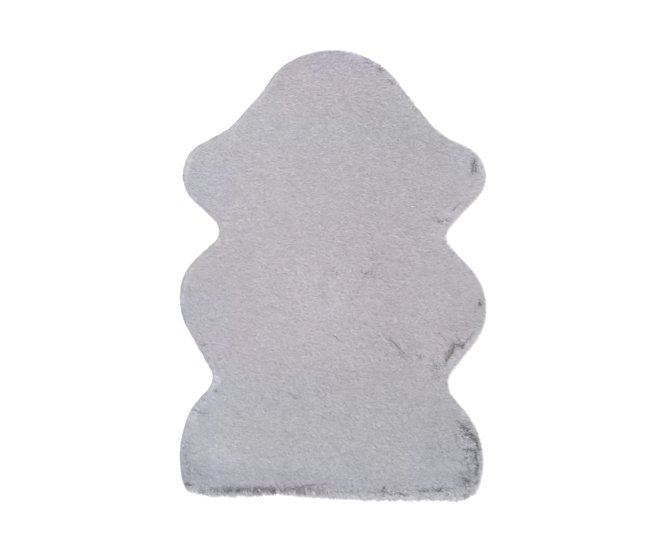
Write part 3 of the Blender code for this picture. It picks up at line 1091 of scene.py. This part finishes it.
def grown(tips, rng):
    """The strands' roots, bends and tips, and how bright each strand is, with painted light and shade on the
    ripples and painted shade near the outline.
    """
    place, normal, outward = tips["place"], tips["normal"], tips["outward"]
    spot, inset, rim = tips["spot"].T, tips["inset"], tips["rim"]
    count = len(place)
    x, y = place[:, 0], place[:, 1]
    way, chance = tufts(*spot, TUFT, TUFT_SEED)
    wide_way, wide_chance = tufts(*spot, WIDE_TUFT, WIDE_TUFT_SEED)
    clump_way, _ = clumped(*spot, x)
    ragged = raggedness(place, outward, inset)
    lock_way, lock_chance = tufts(*spot, FRINGE_LOCK, FRINGE_LOCK_SEED)
    fringe = raggedness(place, outward, 0) * ease(2 - 2 * inset / FRINGE_REACH) * (rim > 0)
    fringe = fringe * np.where(x > CLUMP_SPLIT, FRINGE_SHARE_ON_RIGHT, 1)
    _, mussed_chance = tufts(*turned(*spot, LOCK_TURN), LOCK, LOCK_SEED)
    mess = mussed(x, y)

    into_wind = windward(outward)
    swirl = sum(degrees * noise(x, y, cell, seed) for cell, degrees, seed in SLOW_SWIRLS)
    swirl = swirl + TUFT_SWIRL * chance[:, 0] + WIDE_TUFT_SWIRL * wide_chance[:, 0]
    swirl = swirl + (STRAND_SWIRL + RIM_SWIRL * rim) * rng.normal(0, 1, count)
    swirl = swirl + MUSSED_SWIRL * mess * (wide_chance[:, 0] + chance[:, 1])
    fan = FAN * ease(1 - inset / FAN_REACH) * (1 - into_wind)
    flat = brushed(x, y, swirl) + fan[:, None] * outward
    flat = flat / np.maximum(np.linalg.norm(flat, axis=1, keepdims=True), 1)

    lean = 1 + RIPPLE_LEAN * ripple(x, y) + TUFT_LEAN * chance[:, 1]
    lean = lean + (STRAND_LEAN + RIM_LEAN * rim) * rng.normal(0, 1, count)
    lean = np.clip(lean * (1 - MUSSED_LIFT * mess), 0, MOST_LEAN)[:, None]
    droop = (RIM_DROOP * rim * (1 - into_wind))[:, None]
    first = leaning(flat, normal, LEAN_AT_ROOT * lean, ROOT_DROOP * droop)
    second = leaning(flat, normal, LEAN_AT_TIP * lean, droop)
    half = (tips["depth"] + ROOT_SINK)[:, None] / dot(first + second, normal)
    half = np.minimum(half, LONGEST_STRAND / 2)

    out = (CROWN_SPREAD + (RIM_SPREAD - CROWN_SPREAD) * rim) * rng.normal(0, 1, count)
    out = out + WISP_LENGTH * rim * np.maximum(rng.random(count) - 1 + WISP_SHARE, 0) / WISP_SHARE
    gather = TUFT_GATHER * way + (WIDE_TUFT_GATHER + MUSSED_GATHER * mess)[:, None] * wide_way
    gather = gather + (CLUMP_GATHER * ragged)[:, None] * clump_way
    gather[:, 0] += FRINGE_GATHER * fringe * lock_way[:, 0]
    shift = tips["right"] * gather[:, :1] + tips["up"] * gather[:, 1:] + normal * out[:, None]
    bend = place - second * half + shift * BEND_SHIFT
    root = place - second * half - first * half
    tip = place + shift

    # Painted light on the ripples' crests and painted shade in their troughs, then tone that differs at
    # random.
    shade = 1 + RIPPLE_PAINTED_LIGHT * ripple(x, y) + TUFT_SHADE * chance[:, 0]
    shade = shade + FRINGE_SHADE * fringe * lock_chance[:, 0]
    shade = shade + (STRAND_SHADE + MUSSED_SHADE * mess) * rng.normal(0, 1, count)
    shade = shade + LOCK_SHADE * mess * mussed_chance[:, 0]
    # Painted shade on the pile near the outline, on its windward and its leeward sides.
    shade = shade * (1 - WINDWARD_PAINTED_SHADE * into_wind**3 * near_edge(tips, WINDWARD_REACH))
    with_wind = np.clip(leeward(outward), 0, 1)
    shade = shade * (1 - LEEWARD_PAINTED_SHADE * with_wind * near_edge(tips, LEEWARD_REACH))
    return root, bend, tip, shade


def all_partings(rng):
    """All partings as (points of the line, opening): placed ones, ruffles, brush lines and fringe lines."""
    lines = [(np.array(points), opening) for opening, *points in PARTINGS]

    def add(x, y, turn, half_lengths, openings, share):
        heading = math.atan2(*brushed(x, y, turn)[::-1])
        reach = rng.uniform(*half_lengths) * np.array([math.cos(heading), math.sin(heading)])
        middle = np.array([x, y])
        lines.append((np.array([middle - reach, middle + reach]), rng.uniform(*openings) * share))

    for _, x, y, half_width, half_height, turn, strength in MUSSED:
        count = round(RUFFLES_PER_AREA * math.pi * half_width * half_height * strength)
        share = RUFFLE_LEAST_SHARE + (1 - RUFFLE_LEAST_SHARE) * strength
        for u, v, spin in rng.normal(0, 1, (count, 3)):
            right = RUFFLE_SCATTER * u * half_width
            up = RUFFLE_SCATTER * v * half_height
            right, up = turned(right, up, -turn)
            add(x + right, y + up, spin * RUFFLE_TURN, RUFFLE_HALF_LENGTH, RUFFLE_OPENING, share)
    for _ in range(BRUSH_LINES):
        x, y = rng.uniform(*outline.box())
        add(x, y, rng.normal(0, BRUSH_LINE_TURN), BRUSH_LINE_HALF_LENGTH, BRUSH_LINE_OPENING, 1)
    for _ in range(FRINGE_LINES):
        x = rng.uniform(*FRINGE_LINES_SPAN)
        top = (x, rng.uniform(*FRINGE_LINE_TOP))
        foot = (x + rng.uniform(*FRINGE_LINE_SLANT), rng.uniform(*FRINGE_LINE_FOOT))
        lines.append((np.array([top, foot]), rng.uniform(*FRINGE_LINE_OPENING)))
    return lines


def within(places, line, margin):
    """Which places lie in the line's box, or no further than this from it."""
    low, high = line.min(0) - margin, line.max(0) + margin
    return np.flatnonzero(((places > low) & (places < high)).all(1))


def cleft(x, y):
    """How much these places lie in a placed parting, from 0 to 1."""
    places = np.stack([x, y], axis=1)
    share = np.zeros(len(x))
    for opening, *points in PARTINGS:
        line = np.array(points)
        near = within(places, line, UNDERFUR_CLEFT_MARGIN)
        fade = np.exp(-((distances(places[near], line) / UNDERFUR_CLEFT_REACH) ** 2))
        share[near] = np.maximum(share[near], min(1, opening / WIDE_CLEFT) * fade)
    return share


def beside(points, line):
    """For each point: how far it lies left of a line, how far along it, and which way left is there."""
    start, run = line[:-1], np.diff(line, axis=0)
    length = np.linalg.norm(run, axis=1)
    gap = points[:, None] - start
    share = (gap * run).sum(2) / length**2
    off = gap - np.clip(share, 0, 1)[..., None] * run
    nearest = np.linalg.norm(off, axis=2).argmin(1)
    rows = np.arange(len(points))
    lowest = np.where(nearest == 0, -np.inf, 0)
    highest = np.where(nearest == len(run) - 1, np.inf, 1)
    share = np.clip(share[rows, nearest], lowest, highest)
    along = np.concatenate([[0], np.cumsum(length)])[nearest] + share * length[nearest]
    way = (run / length[:, None])[nearest]
    left = np.stack([-way[:, 1], way[:, 0]], axis=1)
    across = (gap[rows, nearest] * left).sum(1)
    return across, along, left


def combed(root, bend, tip, rng):
    """Opens the partings: moves all of each strand to its tip's side of the line.

    Returns how deep in a parting each strand is, and how much painted shade it gets in place of the
    parting's shadow where it is too near the outline to open.
    """
    deep, closed_painted_shade = np.zeros(len(root)), np.zeros(len(root))
    for number, (line, opening) in enumerate(all_partings(rng)):
        whole = np.linalg.norm(np.diff(line, axis=0), axis=1).sum()
        near = within(tip[:, :2], line, COMB_REACH)
        near = near[rng.random(len(near)) > STRAYS]

        def in_line(points):
            across, along, left = beside(points[near, :2], line)
            row = along * 0 + number + 0.5
            across = across + WOBBLE * noise(along, row, (WOBBLE_CELL, 1), WOBBLE_SEED)
            jag = 1 + JAG * noise(along, row, (WOBBLE_CELL / 2, 1), JAG_SEED)
            return across, jag * np.sqrt(np.clip(1 - (2 * along / whole - 1) ** 2, 0, 1)), left

        across, window, _ = in_line(tip)
        side = np.where(across >= 0, 1, -1)
        gape = min(1, opening / WIDE_CLEFT) * window
        depth = gape * np.exp(-((across / (CLEFT_SPREAD * opening)) ** 2))
        deep[near] = np.maximum(deep[near], depth)
        inset = ground.read(ground.inset, tip[near, 0], tip[near, 1])
        free = ease((inset - PARTING_INSET[0]) / PARTING_INSET[1])
        # Painted shade along a parting too near the outline to open.
        closed_shade_here = (1 - free) * gape * np.exp(-((across / (CLOSED_PARTING_SHADE_SPREAD * opening)) ** 2))
        closed_painted_shade[near] = np.maximum(closed_painted_shade[near], closed_shade_here)
        for points, share in zip((root, bend, tip), COMB_SHARES):
            across, window, left = in_line(points)
            missing = np.maximum(opening * share * window - side * across, 0) * (window > 0) * free
            missing = missing * min(1, opening / FAINT_OPENING)
            points[near, :2] += (side * missing)[:, None] * left
    return deep, closed_painted_shade


def strand_faces(tips, rng):
    """The strands' points (count, 4, 3), and the shade of each."""
    root, bend, tip, shade = grown(tips, rng)
    deep, closed_painted_shade = combed(root, bend, tip, rng)
    for part in (root, bend, tip):
        part[:, 2] = np.maximum(part[:, 2], LOWEST_TIP)
    direction = unit(tip - root)
    across = np.cross(tips["normal"], direction)
    clear = np.linalg.norm(across, axis=1, keepdims=True) > LEVEL_ENOUGH
    across = np.where(clear, across, tips["right"])
    side = unit(across - direction * dot(across, direction))
    face = np.cross(side, direction)
    twist = rng.normal(0, CROWN_TWIST + (RIM_TWIST - CROWN_TWIST) * tips["rim"])[:, None]
    cos, sin = np.cos(twist), np.sin(twist)
    side, face = side * cos + face * sin, face * cos - side * sin
    side = np.where(dot(face, tips["normal"] + UPWARD) < 0, -side, side)
    half = (STRAND_WIDTH / 2 * rng.uniform(*STRAND_WIDTHS, len(root)))[:, None]
    points = np.stack([root, bend + side * half, bend - side * half, tip], axis=1)
    # Painted shade in the partings, most at the roots, a little painted highlight towards the tips, and
    # painted shade along partings too near the outline to open.
    parting_painted_shade = LIP_PAINTED_HIGHLIGHT * (1 - STRAND_ROOTINESS) - CLEFT_PAINTED_SHADE * STRAND_ROOTINESS
    shades = shade[:, None] * (1 + deep[:, None] * parting_painted_shade) * (1 - CLOSED_PARTING_PAINTED_SHADE * closed_painted_shade[:, None])
    return points, shades


def make_pile(name, points, tint, material):
    """One band of the pile as a mesh, each strand with a cell of its own in the piece's map."""
    count = len(points)
    mesh = bpy.data.meshes.new(name)
    mesh.vertices.add(count * 4)
    mesh.vertices.foreach_set("co", points.astype(np.float32).ravel())
    loops = (np.arange(count)[:, None] * 4 + STRAND_CORNERS).ravel()
    mesh.loops.add(len(loops))
    mesh.loops.foreach_set("vertex_index", loops.astype(np.int32))
    mesh.polygons.add(count * 2)
    mesh.polygons.foreach_set("loop_start", np.arange(0, len(loops), 3, dtype=np.int32))
    mesh.update(calc_edges=True)
    mesh.shade_smooth()
    cells = math.ceil(math.sqrt(count))
    column, row = np.arange(count) % cells, np.arange(count) // cells
    u = (column[:, None] + STRAND_MAP[:, 0]) / cells
    v = (row[:, None] + STRAND_MAP[:, 1]) / cells
    layer = mesh.uv_layers.new(name="OFBake")
    layer.uv.foreach_set("vector", np.stack([u, v], axis=-1).astype(np.float32).ravel())
    rise = mesh.attributes.new("rise", "FLOAT", "POINT")
    rise.data.foreach_set("value", np.tile(STRAND_RISE, count).astype(np.float32))
    add_tint(mesh, tint.reshape(-1, 3))
    return add_piece(mesh, material)


def make_piles():
    rng = np.random.default_rng(PILE_SEED)
    tips = joined([crown_tips(rng), rim_tips(rng)])
    points, shades = strand_faces(tips, rng)
    # The strands' colours: the dye's hues with the patches' painted light and shade, times each strand's
    # brightness with its painted light and shade.
    tint = dye_and_painted_light(tips["place"][:, 0], tips["place"][:, 1])[:, None] * shades[..., None]
    y = tips["place"][:, 1]
    material = fur_material()
    made, upper = [], math.inf
    for name, lower in BANDS:
        chosen = (y >= lower) & (y < upper)
        upper = lower
        made.append(make_pile(name, points[chosen], tint[chosen], material))
    return made


# ---- materials


def new_material(name, colour, roughness):
    material = bpy.data.materials.new(name)
    material.use_nodes = True
    shader = material.node_tree.nodes["Principled BSDF"]
    shader.inputs["Base Color"].default_value = (*colour, 1)
    shader.inputs["Roughness"].default_value = roughness
    shader.inputs["Specular IOR Level"].default_value = FIBRE_SPECULAR
    return material, material.node_tree, shader


def attribute_node(tree, name):
    node = tree.nodes.new("ShaderNodeAttribute")
    node.attribute_name = name
    return node


def tinted(tree, colour_socket):
    """The colour times the piece's own tint."""
    mix = tree.nodes.new("ShaderNodeMix")
    mix.data_type = "RGBA"
    mix.blend_type = "MULTIPLY"
    mix.inputs["Factor"].default_value = 1
    tree.links.new(colour_socket, mix.inputs[6])
    tree.links.new(attribute_node(tree, "tint").outputs["Color"], mix.inputs[7])
    return mix.outputs[2]


def noise_node(tree, scale, detail):
    """Noise in the piece's own places, with this many cells to a metre."""
    node = tree.nodes.new("ShaderNodeTexNoise")
    node.inputs["Scale"].default_value = scale
    node.inputs["Detail"].default_value = detail
    place = tree.nodes.new("ShaderNodeTexCoord")
    tree.links.new(place.outputs["Object"], node.inputs["Vector"])
    return node.outputs["Fac"]


def spread(tree, value, low, high):
    """The value, which runs from 0 to 1, made to run from low to high."""
    node = tree.nodes.new("ShaderNodeMapRange")
    node.inputs["To Min"].default_value = low
    node.inputs["To Max"].default_value = high
    tree.links.new(value, node.inputs["Value"])
    return node.outputs["Result"]


def ramp_node(tree, value, *stops):
    """The value's colour between stops (position, colour)."""
    ramp = tree.nodes.new("ShaderNodeValToRGB")
    for element, (position, colour) in zip(ramp.color_ramp.elements, stops):
        element.position = position
        element.color = (*colour, 1)
    tree.links.new(value, ramp.inputs["Fac"])
    return ramp.outputs["Color"]


def add_bump(tree, shader, height, distance, strength):
    bump = tree.nodes.new("ShaderNodeBump")
    bump.inputs["Strength"].default_value = strength
    bump.inputs["Distance"].default_value = distance
    tree.links.new(height, bump.inputs["Height"])
    tree.links.new(bump.outputs["Normal"], shader.inputs["Normal"])


def tones(tree, value, positions, colour, factors):
    """Tones of one colour, from one factor at the first position of the value to another at the second."""
    stops = [(position, tuple(factor * c for c in colour)) for position, factor in zip(positions, factors)]
    return ramp_node(tree, value, *stops)


def fur_material():
    """Soft strands, darker at the root as painted shade of the pile's depth, whose roughness varies from
    lock to lock.
    """
    material, tree, shader = new_material("faux_fur_strands", TIP_COLOUR, FUR_ROUGHNESS[1])
    rise = attribute_node(tree, "rise").outputs["Fac"]
    along = ramp_node(tree, rise, (FUR_RAMP[0], ROOT_COLOUR), (FUR_RAMP[1], TIP_COLOUR))
    tree.links.new(tinted(tree, along), shader.inputs["Base Color"])
    locks = noise_node(tree, FUR_LOCKS_PER_METRE, FUR_DETAIL)
    tree.links.new(spread(tree, locks, *FUR_ROUGHNESS), shader.inputs["Roughness"])
    grain = noise_node(tree, FUR_GRAIN_PER_METRE, FUR_DETAIL)
    add_bump(tree, shader, grain, FUR_GRAIN_HEIGHT, FUR_GRAIN_STRENGTH)
    shader.inputs["Sheen Weight"].default_value = FUR_SHEEN
    shader.inputs["Sheen Roughness"].default_value = FUR_SHEEN_ROUGHNESS
    return material


def underfur_material():
    """Dense short wool, with a fine grain."""
    material, tree, shader = new_material("faux_fur_underfur", UNDERFUR_COLOUR, UNDERFUR_ROUGHNESS)
    grain = noise_node(tree, UNDERFUR_GRAIN_PER_METRE, WOOL_DETAIL)
    # The grain's hollows get painted shade and its tops painted light.
    colour = tones(tree, grain, UNDERFUR_RAMP, UNDERFUR_COLOUR, UNDERFUR_TONES)
    tree.links.new(tinted(tree, colour), shader.inputs["Base Color"])
    add_bump(tree, shader, grain, UNDERFUR_GRAIN_HEIGHT, UNDERFUR_GRAIN_STRENGTH)
    return material


def math_node(tree, operation, first, second=0.0):
    """One sum on two values, each a number or a socket."""
    node = tree.nodes.new("ShaderNodeMath")
    node.operation = operation
    for value, socket in zip((first, second), node.inputs):
        if isinstance(value, bpy.types.NodeSocket):
            tree.links.new(value, socket)
        else:
            socket.default_value = value
    return node.outputs["Value"]


def knit_height(tree):
    """The height of plain knitting, from 0 to 1: columns of V-shaped stitches along the rug."""

    def sum_of(operation, first, second=0.0):
        return math_node(tree, operation, first, second)

    place = tree.nodes.new("ShaderNodeTexCoord")
    axes = tree.nodes.new("ShaderNodeSeparateXYZ")
    tree.links.new(place.outputs["Object"], axes.inputs["Vector"])
    wale = sum_of("MULTIPLY", axes.outputs["X"], 1 / WALE)
    across = sum_of("ABSOLUTE", sum_of("SUBTRACT", sum_of("FRACT", wale), 0.5))
    course = sum_of("MULTIPLY", axes.outputs["Y"], 1 / COURSE)
    slanted = sum_of("ADD", course, sum_of("MULTIPLY", across, STITCH_SLANT))
    stitch = sum_of("SINE", sum_of("MULTIPLY", slanted, math.tau))
    column = sum_of("SINE", sum_of("MULTIPLY", across, math.tau))
    return sum_of("MULTIPLY", spread(tree, stitch, STITCH_DIP, 1), column)


def back_material():
    """The back's knitted face, with painted shade in the dips between its stitches and a little unevenness
    in its yarn.
    """
    material, tree, shader = new_material("knitted_back", BACK_COLOUR, BACK_ROUGHNESS[1])
    stitches = knit_height(tree)
    uneven = noise_node(tree, YARN_PATCHES_PER_METRE, WOOL_DETAIL)
    painted_stitch_shade = math_node(tree, "MULTIPLY", stitches, STITCH_PAINTED_SHADE_SHARE)
    blend = math_node(tree, "ADD", painted_stitch_shade, math_node(tree, "MULTIPLY", uneven, YARN_SHARE))
    tree.links.new(tones(tree, blend, BACK_RAMP, BACK_COLOUR, BACK_TONES), shader.inputs["Base Color"])
    tree.links.new(spread(tree, uneven, *BACK_ROUGHNESS), shader.inputs["Roughness"])
    add_bump(tree, shader, stitches, STITCH_HEIGHT, STITCH_STRENGTH)
    return material


# ---- floor, light and camera


def make_floor():
    mesh = bpy.data.meshes.new("floor")
    corners = [(x * FLOOR_REACH, y * FLOOR_REACH, 0) for x, y in ((-1, -1), (1, -1), (1, 1), (-1, 1))]
    mesh.from_pydata(corners, [], [(0, 1, 2, 3)])
    new_object("floor", mesh, new_material("studio_floor", FLOOR_COLOUR, 1)[0])


def make_lights():
    world = bpy.data.worlds.new("studio")
    world.use_nodes = True
    nodes = world.node_tree.nodes
    background = nodes.get("Background") or nodes.new("ShaderNodeBackground")
    background.inputs["Color"].default_value = (1, 1, 1, 1)
    background.inputs["Strength"].default_value = WORLD_LIGHT
    bpy.context.scene.world = world
    data = bpy.data.lights.new("softbox", "AREA")
    data.size = SOFTBOX_SIZE
    data.energy = SOFTBOX_WATTS
    softbox = bpy.data.objects.new("softbox", data)
    softbox.location = SOFTBOX_PLACE
    softbox.rotation_mode = "QUATERNION"
    softbox.rotation_quaternion = (-softbox.location).to_track_quat("-Z", "Y")
    softbox.visible_camera = False
    bpy.context.scene.collection.objects.link(softbox)


def make_camera():
    """Straight above the rug, with a long lens, and the rug a little right of the middle of the picture."""
    data = bpy.data.cameras.new("camera")
    data.lens = LENS
    data.sensor_width = SENSOR_WIDTH
    data.clip_end = VIEW_END
    camera = bpy.data.objects.new("camera", data)
    camera.location = (*VIEW_MIDDLE, VIEW_WIDTH * data.lens / data.sensor_width)
    bpy.context.scene.collection.objects.link(camera)
    bpy.context.scene.camera = camera


bpy.context.scene.view_settings.view_transform = "Standard"
make_camera()
make_lights()
make_floor()
underfur = make_underfur()
piles = make_piles()
make_back()
